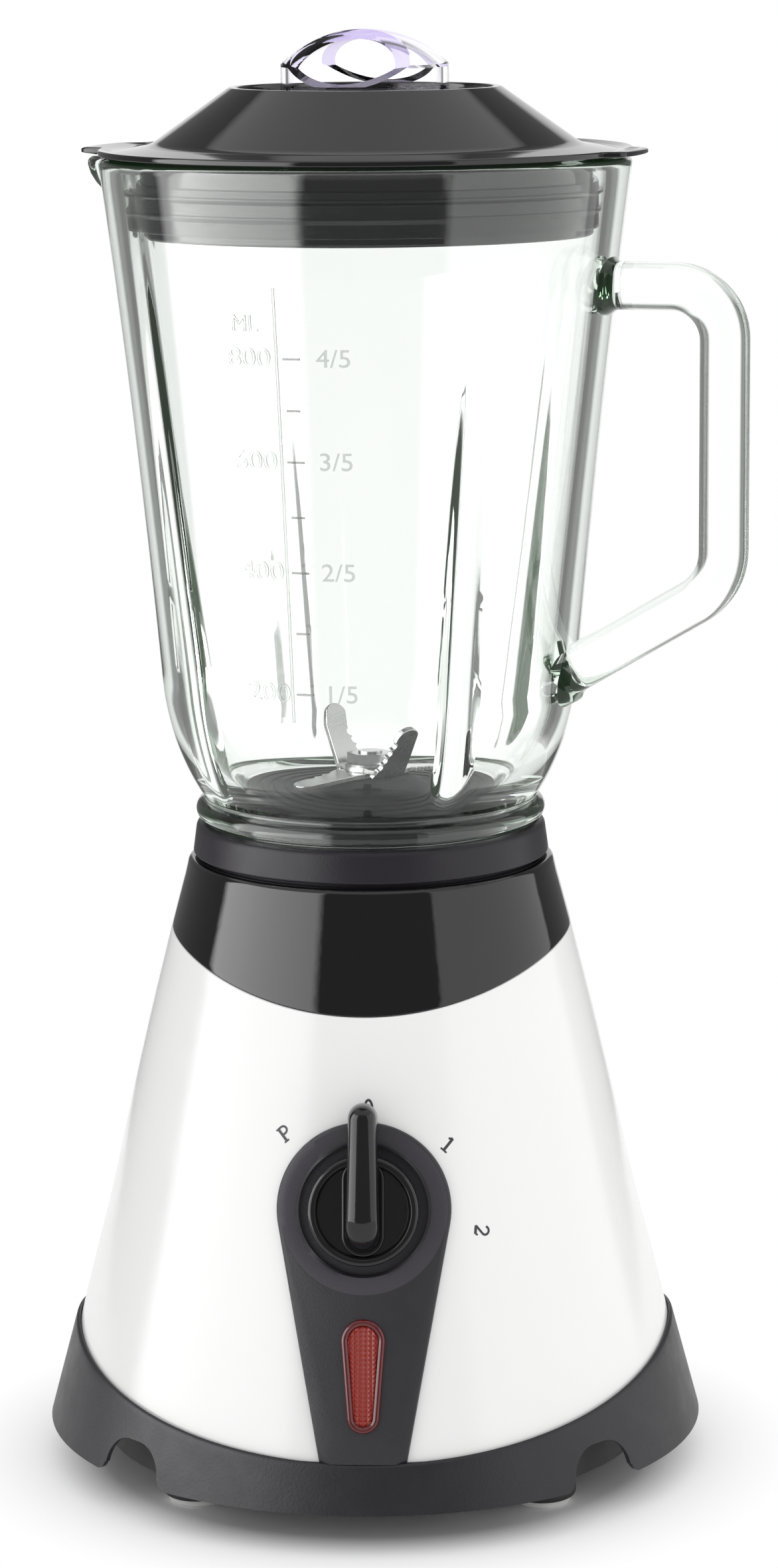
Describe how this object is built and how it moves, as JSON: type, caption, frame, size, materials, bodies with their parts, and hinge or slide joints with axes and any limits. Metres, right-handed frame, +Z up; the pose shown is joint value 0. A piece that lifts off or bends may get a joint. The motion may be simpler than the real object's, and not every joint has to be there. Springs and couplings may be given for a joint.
{
  "type": "countertop blender",
  "caption": "Countertop blender: tapered motor base with a rotary switch and pilot lamp, lift-off glass jar with a handle and spout, lid with a filler cap, and driven blades.",
  "frame": {"origin": "on the table under the drive axis, at the level of the foot pads", "axes": "+Z up along the drive axis, -Y towards the front with the switch, +X to the user's right"},
  "size_m": [0.1757, 0.1654, 0.3578],
  "materials": {
    "white_plastic": "smooth gloss white",
    "black_gloss": "polished black",
    "black_satin": "satin black",
    "black_plain": "plain moulded black",
    "jar_glass": "clear pressed glass",
    "clear_plastic": "clear polished plastic",
    "red_lens": "translucent red",
    "foot_rubber": "pale soft rubber",
    "seal_rubber": "soft black rubber",
    "blade_steel": "ground stainless steel",
    "machine_steel": "turned steel",
    "core_steel": "laminated steel",
    "copper": "enamelled copper",
    "bronze": "sintered bronze",
    "bracket_alloy": "cast alloy",
    "carbon": "dense carbon"
  },
  "bodies": {
    "base": {"foot_pads": "foot_rubber", "bottom_pan": "black_plain", "cord_gland": "seal_rubber", "base_skirt": "black_satin", "main_housing": "white_plastic", "base_screws": "machine_steel", "top_cover": "black_gloss", "control_panel": "black_satin", "lamp_lens": "red_lens", "lamp_holder": "black_plain", "neon_lamp": "jar_glass", "switch_body": "black_plain", "switch_nut": "machine_steel", "upper_bracket": "bracket_alloy", "upper_bearing": "bronze", "lower_bracket": "bracket_alloy", "lower_bearing": "bronze", "brush_holders": "black_plain", "carbon_brushes": "carbon", "stator_core": "core_steel", "field_coils": "copper", "motor_mounts": "seal_rubber", "motor_screws": "machine_steel", "stator_studs": "machine_steel"},
    "rotor": {"motor_shaft": "machine_steel", "armature_core": "core_steel", "armature_winding": "copper", "commutator": "copper", "cooling_fan": "black_plain", "drive_coupling": "black_plain"},
    "dial": {"selector_knob": "black_satin", "switch_spindle": "machine_steel"},
    "jar": {"glass_jar": "jar_glass", "jar_collar": "black_satin", "jar_gasket": "seal_rubber", "blade_holder": "black_plain", "lower_bush": "bronze", "upper_bush": "bronze", "shaft_seal": "seal_rubber"},
    "blades": {"blade_shaft": "blade_steel", "lower_blade": "blade_steel", "upper_blade": "blade_steel", "blade_washer": "blade_steel", "blade_nut": "blade_steel", "driven_coupling": "black_plain"},
    "cover": {"lid": "black_gloss", "lid_seal": "seal_rubber"},
    "cap": {"filler_cap": "clear_plastic"}
  },
  "joints": [
    {"name": "motor_spin", "type": "hinge", "parent": "base", "child": "rotor", "pos_m": [0, 0, 0.08], "axis": [0, 0, 1], "continuous": true},
    {"name": "dial_turn", "type": "hinge", "parent": "base", "child": "dial", "pos_m": [0, -0.06341, 0.0802], "axis": [0, 0.9781, -0.2081], "range_deg": [-52, 104]},
    {"name": "jar_lift", "type": "slide", "parent": "base", "child": "jar", "axis": [0, 0, 1], "range_m": [0, 0.12]},
    {"name": "blade_spin", "type": "hinge", "parent": "jar", "child": "blades", "pos_m": [0, 0, 0.165], "axis": [0, 0, 1], "continuous": true},
    {"name": "lid_lift", "type": "slide", "parent": "jar", "child": "cover", "axis": [0, 0, 1], "range_m": [0, 0.1]},
    {"name": "cap_lift", "type": "slide", "parent": "cover", "child": "cap", "axis": [0, 0, 1], "range_m": [0, 0.08]}
  ],
  "couplings": [
    {"joint": "blade_spin", "follows": "motor_spin", "ratio": 1}
  ]
}
